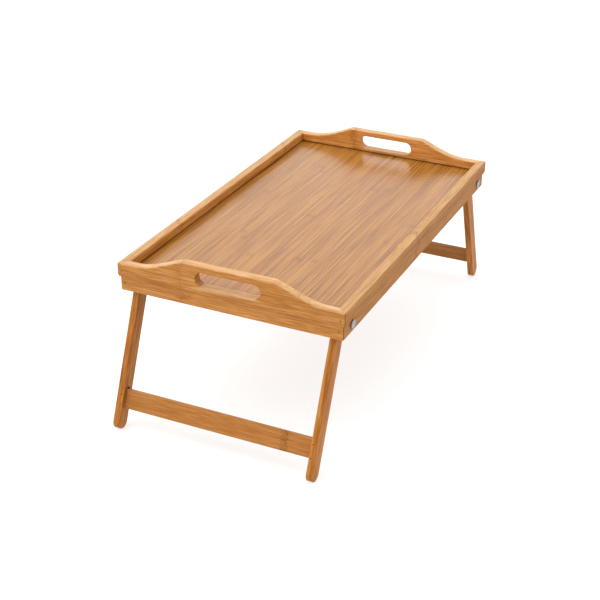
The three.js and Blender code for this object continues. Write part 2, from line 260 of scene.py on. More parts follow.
def evaluated(obj):
    """Puts the object's modifiers into its mesh."""
    graph = bpy.context.evaluated_depsgraph_get()
    final = bpy.data.meshes.new_from_object(
        obj.evaluated_get(graph), preserve_all_data_layers=True, depsgraph=graph
    )
    final.name = obj.name
    obj.modifiers.clear()
    obj.data = final


def cut(obj, cutters):
    """Takes the cutters out of the object, then removes them."""
    for cutter in cutters:
        boolean = obj.modifiers.new("cut", "BOOLEAN")
        boolean.operation = "DIFFERENCE"
        boolean.solver = "EXACT"
        boolean.object = cutter
    evaluated(obj)
    for cutter in cutters:
        bpy.data.objects.remove(cutter)


def mirrored(obj, x=1, y=1):
    """Mirrors the object's mesh in X or Y, given as signs."""
    obj.data.transform(Matrix.Diagonal((x, y, 1, 1)))
    if x * y < 0:
        obj.data.flip_normals()


def shade(obj, is_crease=None):
    """Smooth shading with flat faces kept flat. is_crease(a, b) picks edges that are sharp all the same."""
    mesh = obj.data
    mesh.shade_smooth()
    mesh.set_sharp_from_angle(angle=SMOOTH_ANGLE)
    if is_crease:
        for edge in mesh.edges:
            if is_crease(*(mesh.vertices[i].co for i in edge.vertices)):
                edge.use_edge_sharp = True
    weighted = obj.modifiers.new("weighted", "WEIGHTED_NORMAL")
    weighted.keep_sharp = True
    weighted.weight = NORMALS_BY_AREA
    evaluated(obj)


def set_attribute(obj, name, kind, values):
    attribute = obj.data.attributes.new(name, kind, "POINT")
    field = "vector" if kind == "FLOAT_VECTOR" else "value"
    attribute.data.foreach_set(field, np.asarray(values, np.float32).ravel())


def coordinates(obj):
    flat = np.empty(len(obj.data.vertices) * 3, np.float32)
    obj.data.vertices.foreach_get("co", flat)
    return flat.reshape(-1, 3)


def grained(obj, axes, start):
    """Stores where each point lies in the board it was cut from: along, across and through the grain."""
    order = ["XYZ".index(letter) for letter in axes]
    set_attribute(obj, "grain", "FLOAT_VECTOR", coordinates(obj)[:, order] + np.array(start))


def install(obj, body, material, node):
    """Gives the piece its material and body, and lets it stand for its CAD node."""
    obj.data.materials.clear()
    obj.data.materials.append(MATERIALS[material])
    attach(obj, body)
    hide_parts(node)


# ---- Materials ----

def put(socket, value):
    """Sets a socket to a number or colour, or links an output to it."""
    if isinstance(value, bpy.types.NodeSocket):
        socket.id_data.links.new(value, socket)
    else:
        socket.default_value = value


class Tree:
    """Short calls for the shader nodes that the materials and the sky use."""

    def __init__(self, owner):
        self.tree = owner.node_tree
        self.tree.nodes.clear()

    def add(self, kind, inputs=None, **settings):
        made = self.tree.nodes.new(kind)
        for key, value in settings.items():
            setattr(made, key, value)
        for key, value in (inputs or {}).items():
            put(made.inputs[key], value)
        return made

    def math(self, operation, a, b=0.0, c=0.0):
        return self.add("ShaderNodeMath", {0: a, 1: b, 2: c}, operation=operation).outputs[0]

    def times(self, a, b):
        return self.math("MULTIPLY", a, b)

    def swing(self, value, amount, middle=0.0):
        """Goes from half of the amount below the middle to half above it, as value goes from 0 to 1."""
        return self.math("MULTIPLY_ADD", self.math("SUBTRACT", value, 0.5), amount, middle)

    def vector(self, x, y, z):
        return self.add("ShaderNodeCombineXYZ", {0: x, 1: y, 2: z}).outputs[0]

    def noise(self, vector, scale=1.0, detail=2.0, roughness=0.5):
        made = self.add(
            "ShaderNodeTexNoise",
            {"Vector": vector, "Scale": scale, "Detail": detail, "Roughness": roughness},
        )
        return made.outputs[0]

    def grain_noise(self, place, fineness, detail=2.0, roughness=0.5):
        """Noise drawn out along the grain, from a place and its fineness along and across."""
        along, across, through = place
        along_scale, across_scale = fineness
        drawn_out = self.vector(
            self.times(along, along_scale),
            self.times(across, across_scale),
            self.times(through, across_scale),
        )
        return self.noise(drawn_out, 1.0, detail, roughness)

    def between(self, value, low, high, to_low=0.0, to_high=1.0):
        """A smooth step of value from low to high."""
        made = self.add(
            "ShaderNodeMapRange",
            {0: value, 1: low, 2: high, 3: to_low, 4: to_high},
            interpolation_type="SMOOTHSTEP",
        )
        return made.outputs[0]

    def mix(self, factor, a, b):
        """A colour between a and b."""
        return self.add("ShaderNodeMix", {0: factor, 6: a, 7: b}, data_type="RGBA").outputs[2]

    def ramp(self, factor, places, colours):
        made = self.add("ShaderNodeValToRGB", {0: factor})
        elements = made.color_ramp.elements
        while len(elements) < len(places):
            elements.new(0.5)
        for element, place, colour in zip(elements, places, colours):
            element.position = place
            element.color = (*colour, 1)
        return made.outputs[0]

    def bump(self, height, strength, distance):
        made = self.add("ShaderNodeBump", {"Strength": strength, "Distance": distance, "Height": height})
        return made.outputs[0]

    def surface(self, colour, roughness, normal, fixed):
        shader = self.add("ShaderNodeBsdfPrincipled", {"Base Color": colour, "Roughness": roughness})
        if normal is not None:
            put(shader.inputs["Normal"], normal)
        for name, value in fixed.items():
            shader.inputs[name].default_value = value
        self.add("ShaderNodeOutputMaterial", {"Surface": shader.outputs[0]})


def new_material(name):
    material = bpy.data.materials.new(name)
    material.use_nodes = True
    return material, Tree(material)


# What all the bamboo has in common. A fineness is a pair: along the grain and across it.
RING_REACH = (7.5 * MM, 1.5 * MM)  # from a node ring's middle: where its smudge starts and is full
RING_SWERVE = 2.2 * MM  # how far the fibres swerve there
RING_RIPPLES = (560.0, 430.0)
RING_MOTTLING = (0.37, 0.60)
WANDER = (7.0, 22.0)
FIBRE_ROUGHNESS = 0.55
CANE_SHIFT = 40.0  # strips come from places this far apart in the fibres' pattern
BRIGHT_THREADS = (0.62, 0.74)
DARK_THREADS = (0.62, 0.75)
THREAD_SPREAD = 1.2  # the bright threads are this much finer across, the dark ones along
FINE_FIBRES = (13.0, 950.0)
HAIRS = (30.0, 2600.0)
PORES = (95.0, 2600.0)
PORE_CHANCE = (0.62, 0.72)
SEAM_REACH = 0.28 * MM  # of the seam between two strips, to each side
TONE_PLACES = (0.10, 0.5, 0.90)
THREAD_LIGHT = 1.10  # the bright threads, against the palest tone
THREAD_DARK = 0.80  # the dark threads, against the deepest tone
SHADOW = 0.5  # pores, seams, node rings and the painted shadow line of the joints, against the deepest tone
HIGHLIGHT_THREADS = 0.35  # strength of the dark threads in the painted highlight on a board's top
# Strength of the painted shadow line along the mitred corners.
MITRE_SHADOW_SHARE = 0.5
PORE_SHADE = 0.22
SEAM_SHADE = 0.20
FIBRE_GLOSS = 0.16
PORE_GLOSS = 0.08
FIBRE_RELIEF = 0.5
HAIR_RELIEF = 0.25
PORE_RELIEF = -0.45
SEAM_RELIEF = -0.5
SMUDGE_RELIEF = 0.4
RELIEF_HEIGHT = 0.12 * MM


def opaque(colour, factor=1.0):
    """The colour, made darker or lighter by a factor, as a shader takes it."""
    return (*[factor * x for x in colour], 1)


def bamboo(
    name, tones, strip, layer, streaks, *, threads, sway, ring_gap, ring_jitter, specular,
    ring_chance=(0.15, 0.85), ring_strength=0.36, strips=0.25, roughness=0.45, relief=0.35,
    highlight_tones=None,
):
    """Laminated bamboo: strips glued side by side and in layers, with fibres, pores and node rings.

    tones are the dark, middle and light colours, and the top tones the same for the paler painted highlight
    on a board's top and slot sill.
    strip and layer are the size of one strip across and through the grain, and strips how much
    they differ. Each of the streaks is (fineness along, fineness across, strength), as are the
    threads, the single bright and dark fibres. ring_gap is the way between the node rings of a
    strip, ring_jitter how much they shift from strip to strip, and sway how far the fibres wander.
    A strip's rings show more or less by chance, from nothing below the first ring_chance to
    ring_strength above the second.
    """
    material, t = new_material(name)
    grain = t.add("ShaderNodeAttribute", attribute_name="grain").outputs["Vector"]
    along, across, through = t.add("ShaderNodeSeparateXYZ", {0: grain}).outputs

    # The strips, each with chances of its own.
    strip_place = t.math("DIVIDE", across, strip)
    layer_place = t.math("DIVIDE", through, layer)
    strip_id = t.vector(t.math("FLOOR", strip_place), t.math("FLOOR", layer_place), 0.0)
    random = t.add("ShaderNodeTexWhiteNoise", {"Vector": strip_id}, noise_dimensions="3D").outputs
    ring_shift, strip_tone, ring_show = t.add("ShaderNodeSeparateColor", {0: random["Color"]}).outputs
    seam_way = t.math("ABSOLUTE", t.swing(t.math("FRACT", strip_place), 1.0))
    seam = t.between(seam_way, 0.5 - SEAM_REACH / strip, 0.5)

    # Node rings: a soft mottled smudge once in every length of cane.
    ring_place = t.math("DIVIDE", t.math("ADD", along, t.swing(ring_shift, ring_jitter)), ring_gap)
    ring_way = t.swing(t.math("FRACT", t.math("ADD", ring_place, 0.5)), ring_gap)
    ripple = t.grain_noise((along, across, through), RING_RIPPLES)
    ring = t.times(t.between(t.math("ABSOLUTE", ring_way), *RING_REACH), t.between(ring_show, *ring_chance))
    smudge = t.times(ring, t.between(ripple, *RING_MOTTLING))

    # Fibres: streaks drawn out along the grain, wandering a little and swerving at each node ring.
    bend = t.swing(t.grain_noise((along, across, through), WANDER), sway)
    swerve = t.times(t.times(ring, t.swing(ripple, 1.0)), RING_SWERVE)
    fibre_place = (
        t.math("ADD", along, t.times(random["Value"], CANE_SHIFT)),
        t.math("ADD", t.math("ADD", across, bend), swerve),
        through,
    )

    def fibres(fineness, detail=2.0):
        return t.grain_noise(fibre_place, fineness, detail, FIBRE_ROUGHNESS)

    level = t.swing(strip_tone, strips, 0.5)
    for *fineness, strength in streaks:
        level = t.swing(fibres(fineness), strength, level)
    thread_along, thread_across, thread_strength = threads
    bright = t.between(fibres((thread_along, thread_across * THREAD_SPREAD), 1.0), *BRIGHT_THREADS)
    dark = t.between(fibres((thread_along * THREAD_SPREAD, thread_across), 1.0), *DARK_THREADS)
    fine = fibres(FINE_FIBRES)
    pores = t.between(fibres(PORES, 1.0), *PORE_CHANCE)

    deep, _, pale = tones
    shadow = opaque(deep, SHADOW)
    colour = t.ramp(level, TONE_PLACES, tones)
    colour = t.mix(t.times(bright, thread_strength), colour, opaque(pale, THREAD_LIGHT))
    colour = t.mix(t.times(dark, thread_strength), colour, opaque(deep, THREAD_DARK))
    # Painted highlight: a paler colour on a board's top and slot sill stands in for the light from above.
    if highlight_tones:
        top = t.add("ShaderNodeAttribute", attribute_name="top").outputs["Fac"]
        highlight_colour = t.ramp(level, TONE_PLACES, highlight_tones)
        highlight_colour = t.mix(t.times(dark, HIGHLIGHT_THREADS), highlight_colour, opaque(highlight_tones[0]))
        colour = t.mix(top, colour, highlight_colour)
        # Painted shadow: a dark line along the mitred corners.
        joint = t.add("ShaderNodeAttribute", attribute_name="joint").outputs["Fac"]
        colour = t.mix(t.times(joint, MITRE_SHADOW_SHARE), colour, shadow)
    for part, strength in ((pores, PORE_SHADE), (seam, SEAM_SHADE), (smudge, ring_strength)):
        colour = t.mix(t.times(part, strength), colour, shadow)

    gloss = t.math("MULTIPLY_ADD", pores, PORE_GLOSS, t.swing(fine, FIBRE_GLOSS, roughness))
    height = t.times(fibres(HAIRS, 1.0), HAIR_RELIEF)
    for part, weight in (
        (fine, FIBRE_RELIEF), (pores, PORE_RELIEF), (seam, SEAM_RELIEF), (smudge, SMUDGE_RELIEF),
    ):
        height = t.math("MULTIPLY_ADD", part, weight, height)
    fixed = {"IOR": 1.5, "Specular IOR Level": specular}
    t.surface(colour, gloss, t.bump(height, relief, RELIEF_HEIGHT), fixed)
    return material


def dimmed(tones, factor):
    return tuple(tuple(factor * x for x in tone) for tone in tones)


BOARD_TONES = ((0.330, 0.112, 0.016), (0.470, 0.190, 0.040), (0.600, 0.290, 0.092))
# Tones of the painted highlight on the boards' tops and slot sills.
TOP_HIGHLIGHT_TONES = ((0.420, 0.200, 0.072), (0.560, 0.312, 0.132), (0.690, 0.435, 0.225))
FLOOR_TONES = ((0.212, 0.077, 0.010), (0.313, 0.126, 0.019), (0.410, 0.182, 0.035))
LEG_TONES = ((0.250, 0.074, 0.008), (0.358, 0.123, 0.015), (0.460, 0.187, 0.038))
BAR_TONES = ((0.265, 0.086, 0.012), (0.362, 0.139, 0.030), (0.458, 0.210, 0.062))
BOARD_STREAKS = ((4.0, 90.0, 0.5), (24.0, 430.0, 0.95), (42.0, 950.0, 1.6), (90.0, 2300.0, 0.5))
RAIL_STREAKS = ((3.0, 80.0, 0.45), (18.0, 400.0, 1.0), (34.0, 900.0, 1.3), (80.0, 2300.0, 0.5))
LEG_STREAKS = ((5.0, 110.0, 0.9), (18.0, 380.0, 2.1), (36.0, 900.0, 2.0), (80.0, 2300.0, 0.5))
BAR_STREAKS = ((3.0, 80.0, 0.4), (20.0, 430.0, 0.8), (40.0, 1000.0, 1.2), (90.0, 2300.0, 0.5))
FLOOR_STREAKS = ((3.0, 100.0, 0.3), (6.0, 560.0, 2.1), (11.0, 1100.0, 3.0), (22.0, 2600.0, 1.2))

BOARD_STRIP, BOARD_LAYER = 24 * MM, 6 * MM
ALWAYS = (-2.0, -1.0)  # a ring_chance that leaves no strip without its rings

# Each kind of board also scales the tones of the painted highlight on its top.
PANEL_LOOK = {"streaks": BOARD_STREAKS, "specular": 0.15, "ring_gap": 0.26, "top_highlight_scale": 0.93}
RAIL_LOOK = {"streaks": RAIL_STREAKS, "specular": 0.06, "ring_gap": 0.30, "top_highlight_scale": 0.82}
# Painted light and shade: each board's tones are scaled for the light on its faces, the back panel and left
# rail lighter, the front panel and right rail darker.
BOARD_LOOKS = {
    "front_panel": {**PANEL_LOOK, "light_and_shade_scale": 0.90, "ring_jitter": 0.006, "ring_strength": 0.24},
    "back_panel": {**PANEL_LOOK, "light_and_shade_scale": 1.20, "ring_jitter": 0.012, "ring_strength": 0.50},
    "right_rail": {**RAIL_LOOK, "light_and_shade_scale": 0.74, "ring_jitter": 0.006, "ring_strength": 0.50},
    "left_rail": {**RAIL_LOOK, "light_and_shade_scale": 1.12, "ring_jitter": 0.012, "ring_strength": 0.36},
}
# Painted shade: the back bar's tones are darker for the shade under the tray.
BAR_SHADE_SCALE = {"front_bar": 1.0, "back_bar": 0.80}


def board_bamboo(name, light_and_shade_scale, top_highlight_scale, **look):
    return bamboo(
        f"bamboo_{name}", dimmed(BOARD_TONES, light_and_shade_scale), BOARD_STRIP, BOARD_LAYER,
        ring_chance=ALWAYS, sway=0.004, strips=0.20, threads=(9.0, 600.0, 0.32), roughness=0.48,
        highlight_tones=dimmed(TOP_HIGHLIGHT_TONES, top_highlight_scale), **look,
    )


def bar_bamboo(name, light_and_shade_scale):
    return bamboo(
        f"bamboo_{name}", dimmed(BAR_TONES, light_and_shade_scale), BOARD_STRIP, BOARD_LAYER, BAR_STREAKS,
        ring_gap=0.31, ring_jitter=0.004, sway=0.004, strips=0.20, threads=(9.0, 620.0, 0.3),
        ring_chance=ALWAYS, ring_strength=0.6, specular=0.10,
    )


METAL_CLOUDS = (0.42, 0.66)
METAL_SPECKS = (0.60, 0.72)
SPECK_FINENESS = 7  # against the clouds'
SPECK_SHADE = 0.4  # against the clouds' darker colour
SPECK_RELIEF = 0.4
METAL_GLOSS = 0.35
METAL_RELIEF_HEIGHT = 0.06 * MM
NYLON_RELIEF_HEIGHT = 0.04 * MM


def metal(name, colour, spots, roughness, scale, worn):
    """Bright or dull metal, cloudy between two colours and with darker specks of wear."""
    material, t = new_material(name)
    place = t.add("ShaderNodeTexCoord").outputs["Object"]
    cloud = t.noise(place, scale, 3.0, 0.6)
    speck = t.noise(place, scale * SPECK_FINENESS)
    tone = t.mix(t.between(cloud, *METAL_CLOUDS), opaque(colour), opaque(spots))
    wear = t.times(t.between(speck, *METAL_SPECKS), worn)
    tone = t.mix(wear, tone, opaque(spots, SPECK_SHADE))
    gloss = t.swing(cloud, METAL_GLOSS, roughness)
    height = t.math("MULTIPLY_ADD", speck, SPECK_RELIEF, cloud)
    t.surface(tone, gloss, t.bump(height, 0.3, METAL_RELIEF_HEIGHT), {"Metallic": 1.0})
    return material


def nylon(name):
    """The slightly milky ring inside a lock nut."""
    material, t = new_material(name)
    place = t.add("ShaderNodeTexCoord").outputs["Object"]
    cloud = t.noise(place, 900.0)
    tone = t.mix(cloud, opaque((0.62, 0.68, 0.74)), opaque((0.80, 0.83, 0.86)))
    gloss = t.math("MULTIPLY_ADD", cloud, 0.2, 0.35)
    t.surface(tone, gloss, t.bump(cloud, 0.2, NYLON_RELIEF_HEIGHT), {"IOR": 1.53})
    return material


MATERIALS = {
    **{name: board_bamboo(name, **look) for name, look in BOARD_LOOKS.items()},
    **{name: bar_bamboo(name, light_and_shade_scale) for name, light_and_shade_scale in BAR_SHADE_SCALE.items()},
    "floor": bamboo(
        "bamboo_floor", FLOOR_TONES, 9.5 * MM, 20 * MM, FLOOR_STREAKS, ring_gap=0.24,
        ring_jitter=0.24, sway=0.002, threads=(7.0, 1000.0, 0.7), roughness=0.25, specular=0.31,
        relief=0.12, ring_strength=0.5,
    ),
    "leg": bamboo(
        "bamboo_leg", LEG_TONES, 6.4 * MM, 5 * MM, LEG_STREAKS, ring_gap=0.42, ring_jitter=0.05,
        sway=0.002, strips=0.35, threads=(12.0, 480.0, 0.65), specular=0.12,
    ),
    "steel": metal(
        "zinc_plated_steel", colour=(0.36, 0.38, 0.40), spots=(0.22, 0.24, 0.26), roughness=0.36,
        scale=420.0, worn=0.35,
    ),
    "nail": metal(
        "dull_nail_steel", colour=(0.17, 0.11, 0.07), spots=(0.09, 0.06, 0.04), roughness=0.55,
        scale=900.0, worn=0.5,
    ),
    "nylon": nylon("nylon_insert"),
}

# Where each piece starts in the pattern of its material, along, across and through the grain, which
# settles where its node rings fall.
GRAIN_START = {
    "front_panel": (-0.059, 0.287, 0.4),
    "back_panel": (-0.052, 0.313, 0.4),
    "right_rail": (0.022, 0.483, 0.2),
    "left_rail": (0.115, 0.517, 0.2),
    "floor": (0.7, 0.9, 0.1),
    "front_bar": (0.397, 0.6, 0.28),
    "back_bar": (0.197, 0.6, 0.38),
}


def leg_grain_start(end, side):
    return (0.4 + 0.07 * end, 0.05 * side + 0.03 * end + 0.4, 0.6)


# ---- Boards of the tray ----

def board_section(top):
    """Section of a board as (depth in from the outer side, height, depth of the outer face) points.

    The third is what the rounded corner is built from, and -1 away from the outer face.
    """
    low = BOTTOM_Z + BOTTOM_ARRIS
    bead_low = TOP_Z - BEAD_BOTTOM
    cove_high = bead_low - QUIRK_WIDTH
    cove_height = COVE_BOTTOM - BEAD_BOTTOM - QUIRK_WIDTH
    turns = quarter_turns(MOULDING_STEPS)[::-1]
    face = arc((MOULDING_STEP + BOTTOM_ARRIS, low), BOTTOM_ARRIS, 270, 180, SMALL_ARC_STEPS)
    face += [  # the cove
        (COVE_STEP + (MOULDING_STEP - COVE_STEP) * math.sin(turn),
         cove_high - cove_height * (1 - math.cos(turn)))
        for turn in turns
    ]
    face += [(BEAD_STEP + QUIRK_DEPTH, cove_high), (BEAD_STEP + QUIRK_DEPTH, bead_low)]
    face += [  # the bead
        (BEAD_STEP * (1 - math.cos(turn)), TOP_Z - BEAD_TOP - (BEAD_BOTTOM - BEAD_TOP) * math.sin(turn))
        for turn in turns
    ]
    face += arc((TOP_ARRIS, top - TOP_ARRIS), TOP_ARRIS, 180, 90, ARC_STEPS)
    points = [(depth, z, depth) for depth, z in face]
    points[0] = (*face[0], MOULDING_STEP)
    groove_back = THICKNESS - GROOVE_DEPTH
    groove_low = FLOOR_LOW.z - GAP
    inner = [(CORNER_CLEAR, top)]
    inner += arc((THICKNESS - TOP_ARRIS, top - TOP_ARRIS), TOP_ARRIS, 90, 0, ARC_STEPS)
    inner += [
        (THICKNESS, TOP_Z - GROOVE_TOP),
        (groove_back, TOP_Z - GROOVE_TOP),
        (groove_back, groove_low),
        (THICKNESS, groove_low),
    ]
    inner += arc((THICKNESS - BOTTOM_ARRIS, low), BOTTOM_ARRIS, 0, -90, SMALL_ARC_STEPS)
    return points + [(depth, z, -1.0) for depth, z in inner]


def corner_station(section, step):
    """Where a section's points lie near a mitred corner: step 0 is on the mitre, the last is clear of it.

    Returns (distance from the tray's end, depth, height) points. The outer face turns a rounded
    quarter, so the points on it run round an arc and the others straight to the mitre.
    """
    share = step / CORNER_STEPS
    angle = math.radians(45) * (1 - share)
    placed = []
    for depth, z, face in section:
        if face < 0:
            placed.append((depth + MITRE_SETBACK + share * CORNER_ROUND, depth, z))
            continue
        radius = CORNER_ROUND - (depth - face)
        centre = face + CORNER_ROUND
        reach = centre - radius * math.sin(angle) + MITRE_SETBACK * (1 - share)
        placed.append((reach, centre - radius * math.cos(angle), z))
    return placed


def board_loops(half, middle_places, top_at):
    """Loops of (place along the board, depth, height) from one mitred end to the other."""
    ends = [corner_station(board_section(top_at(half)), step) for step in range(CORNER_STEPS + 1)]
    first = [[(s - half, d, z) for s, d, z in loop] for loop in ends]
    last = [[(half - s, d, z) for s, d, z in loop] for loop in reversed(ends)]
    middle = [
        [(place, depth, z) for depth, z, _ in board_section(top_at(place))]
        for place in middle_places
    ]
    return first + middle + last


class Pattern:
    """An end panel's outline and slot, with sizes in metres."""

    def __init__(self, end_name):
        for key, value in PATTERNS[end_name].items():
            setattr(self, key, value * MM)

    def top(self, y):
        """Height of the panel's top edge at a place across the tray."""
        reach = abs(y - self.middle)
        if reach >= self.start:
            return TOP_Z
        if reach <= self.grip_half:
            return TOP_Z + GRIP_RISE
        across = (self.start, self.start_pull, self.end_pull, self.grip_half)
        rise = (0.0, 0.0, self.end_pull_rise, GRIP_RISE)

        def bezier(values, t):
            weights = ((1 - t) ** 3, 3 * t * (1 - t) ** 2, 3 * t * t * (1 - t), t ** 3)
            return sum(weight * value for weight, value in zip(weights, values))

        low, high = 0.0, 1.0
        for _ in range(BISECTIONS):
            half = (low + high) / 2
            low, high = (half, high) if bezier(across, half) > reach else (low, half)
        return TOP_Z + bezier(rise, low)

    def stations(self):
        """Places across the tray where the outline needs a section."""
        flank = np.linspace(self.start, self.grip_half, OGEE_STEPS + 1)
        return [self.middle + y for y in (*-flank, 0.0, *flank[::-1])]

    def in_sill(self, y, z):
        """Whether a point lies on the slot's level lower side."""
        reach = abs(y - self.middle)
        sill_z = TOP_Z + self.slot_rise - SLOT_HEIGHT / 2
        return reach < self.slot_width / 2 - SILL_END and abs(z - sill_z) < SILL_BAND

    def slot_cutter(self):
        """The handle slot, flared at both faces of a panel at +X so that its edges come out rounded."""
        radius = SLOT_HEIGHT / 2
        flare = [(-OVERCUT, SLOT_ARRIS)]
        flare += [
            (SLOT_ARRIS * (1 - math.cos(a)), SLOT_ARRIS * (1 - math.sin(a))) for a in quarter_turns()
        ]
        places = [(HALF_LENGTH - depth, out) for depth, out in flare]
        places += [(HALF_LENGTH - THICKNESS + depth, out) for depth, out in reversed(flare)]
        centre_z = TOP_Z + self.slot_rise
        return skinned("slot_cutter", [
            [
                (x, self.middle + y, centre_z + z)
                for y, z in stadium(self.slot_width / 2 - radius, radius + out)
            ]
            for x, out in places
        ])


def mark_board(obj, top_at, in_sill=None):
    """Marks where a board's painted light goes: a painted highlight on its top and slot sill, and a painted
    shadow line along its mitred corners.
    """
    tops, joints = [], []
    for x, y, z in coordinates(obj):
        # Painted highlight: full on the top, fading out down the rounded arris.
        top = min(1.0, max(0.0, 1 - (top_at(x, y) - z) / TOP_ARRIS))
        off_mitre = abs((HALF_LENGTH - abs(x)) - (HALF_WIDTH - abs(y))) / math.sqrt(2)
        # Painted shadow line along the mitre.
        joint = max(0.0, 1 - (off_mitre - GAP / 2) / MITRE_SHADOW_REACH)
        # The slot's sill takes the full painted highlight.
        tops.append(1.0 if in_sill and in_sill(y, z) else top)
        joints.append(joint * (1 - MITRE_SHADOW_TOP_FADE * top))
    set_attribute(obj, "top", "FLOAT", tops)
    set_attribute(obj, "joint", "FLOAT", joints)


def corner_brad_line(node):
    """Point and head of a corner brad, which lies along X or Y with its head outwards."""
    low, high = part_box(node)
    axis = max(range(3), key=lambda i: high[i] - low[i])
    point = (low + high) / 2
    head = point.copy()
    outwards = head[axis] > 0
    point[axis] = (low if outwards else high)[axis]
    head[axis] = (high if outwards else low)[axis]
    return point, head


def brad_cutter(node):
    """The hole over a corner brad's head."""
    point, head = corner_brad_line(node)
    way = (head - point).normalized()
    start, end = head - way * CORNER_HOLE_PAST, head + way * (BRAD_SET + OVERCUT)
    return rod(start, end, BRAD_HOLE_RADIUS, BRAD_SIDES)


def build_end_panel(end_name):
    """An end panel, shaped and slotted at +X, then mirrored for the front and drilled for its brads."""
    end = ENDS[end_name]
    pattern = Pattern(end_name)
    loops = board_loops(HALF_WIDTH, pattern.stations(), pattern.top)
    panel = skinned(f"{end_name}_end_panel_detail", [
        [(HALF_LENGTH - depth, y, z) for y, depth, z in loop] for loop in loops
    ])
    cut(panel, [pattern.slot_cutter()])
    mirrored(panel, x=end)
    cut(panel, [
        brad_cutter(f"corner_brad_{end_name}_{side}_{row}") for side in SIDES for row in (1, 2)
    ])

    def grip_end(a, b):
        return all(
            abs(abs(p.y - pattern.middle) - pattern.grip_half) < TINY and p.z > TOP_Z + GRIP_RISE / 2
            for p in (a, b)
        )

    shade(panel, grip_end)
    mark_board(panel, lambda x, y: pattern.top(y), pattern.in_sill)
    grained(panel, "YZX", GRAIN_START[f"{end_name}_panel"])
    install(panel, "tray", f"{end_name}_panel", f"{end_name}_end_panel")


def build_rail(side_name):
    """A long rail, shaped at +Y, with the bores and flat seats of its two bolts."""
    side = SIDES[side_name]
    loops = board_loops(HALF_LENGTH, [], lambda place: TOP_Z)
    rail = skinned(f"{side_name}_long_rail_detail", [
        [(x, HALF_WIDTH - depth, z) for x, depth, z in loop] for loop in loops
    ])
    mirrored(rail, y=side)
    cutters = []
    for end_name, end in ENDS.items():
        pivot = PIVOTS[end]
        low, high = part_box(f"pivot_bolt_{end_name}_{side_name}")
        seat_radius = (high.z - low.z) / 2 + GAP
        outer, seat, inner = (
            (pivot.x, side * (HALF_WIDTH - depth), pivot.z)
            for depth in (-OVERCUT, MOULDING_STEP, THICKNESS + OVERCUT)
        )
        cutters.append(rod(inner, outer, BORE_RADIUS))
        cutters.append(rod(seat, outer, seat_radius))
        cutters.append(brad_cutter(f"corner_brad_{end_name}_{side_name}_3"))
    cut(rail, cutters)
    shade(rail)
    mark_board(rail, lambda x, y: TOP_Z)
    grained(rail, "XZY", GRAIN_START[f"{side_name}_rail"])
    install(rail, "tray", f"{side_name}_rail", f"{side_name}_long_rail")


def build_floor():
    """The floor panel, with a small chamfer all round where it slides into the groove."""
    levels = [
        (FLOOR_LOW.z, FLOOR_CHAMFER), (FLOOR_LOW.z + FLOOR_CHAMFER, 0),
        (FLOOR_HIGH.z - FLOOR_CHAMFER, 0), (FLOOR_HIGH.z, FLOOR_CHAMFER),
    ]
    panel = skinned("tray_floor_detail", [
        [(x * (FLOOR_HIGH.x - inset), y * (FLOOR_HIGH.y - inset), z) for x, y in SQUARE]
        for z, inset in levels
    ])
    shade(panel)
    grained(panel, "XYZ", GRAIN_START["floor"])
    install(panel, "tray", "floor", "tray_floor")


# ---- Leg frames, built hanging straight down from the pivot axis ----

def splayed(obj, end):
    """Turns a piece built hanging straight down to its place in an opened leg frame."""
    obj.data.transform(pivot_shift(end) @ Matrix.Rotation(-end * SPLAY, 4, "Y"))


def upright_slot(y, half_straight, radius, centre_z):
    """A leg's outline: straight sides and half-round ends."""
    return [(across, y, centre_z + along) for along, across in stadium(half_straight, radius)]


def mortise_outline(y):
    """A mortise with a round upper end above the bar and a square lower one just below it."""
    radius = BAR_THICKNESS / 2 + GAP
    top = -BAR_REACH + BAR_WIDTH / 2 + MORTISE_OVERRUN
    bottom = -BAR_REACH - BAR_WIDTH / 2 - GAP
    arch = arc((0, top - radius), radius, 0, 180, SLOT_STEPS)
    return [(x, y, z) for x, z in (*arch, (-radius, bottom), (radius, bottom))]


def leg_brad_line(end, side, row, back=LEG_BRAD_LENGTH, front=0.0):
    """Start and end of a line through a leg brad, from behind its head to in front of it."""
    head = LEG_RADIUS - BRAD_SET
    y = side * (LEG_LOW_Y + MORTISE_DEPTH / 2)
    z = -BAR_REACH - LEG_BRAD_DROPS[side][row - 1]
    return (end * (head - back), y, z), (end * (head + front), y, z)


def build_leg(corner, end, side):
    """A leg with its mortise, its bore and the holes over its brads."""
    half_straight = (LEG_REACH - LEG_RADIUS) / 2
    ease = [
        (LEG_ARRIS * (1 - math.sin(a)), LEG_ARRIS * (1 - math.cos(a))) for a in quarter_turns()
    ]
    stations = [(LEG_LOW_Y + depth, inset) for inset, depth in ease]
    stations += [(LEG_HIGH_Y - depth, inset) for inset, depth in reversed(ease)]
    leg = skinned(f"{corner}_leg_detail", [
        upright_slot(y, half_straight, LEG_RADIUS - inset, -half_straight)
        for y, inset in stations
    ])
    mortise = skinned("mortise_cutter", [
        mortise_outline(y) for y in (LEG_LOW_Y - OVERCUT, LEG_LOW_Y + MORTISE_DEPTH)
    ])
    bore = rod((0, LEG_LOW_Y - OVERCUT, 0), (0, LEG_HIGH_Y + OVERCUT, 0), BORE_RADIUS)
    cut(leg, [mortise, bore])
    mirrored(leg, y=side)
    cut(leg, [
        rod(*leg_brad_line(end, side, row, LEG_HOLE_PAST, OVERCUT), BRAD_HOLE_RADIUS, BRAD_SIDES)
        for row in (1, 2)
    ])
    shade(leg)
    grained(leg, "ZXY", leg_grain_start(end, side))
    splayed(leg, end)
    install(leg, frame_name(end), "leg", f"{corner}_leg")


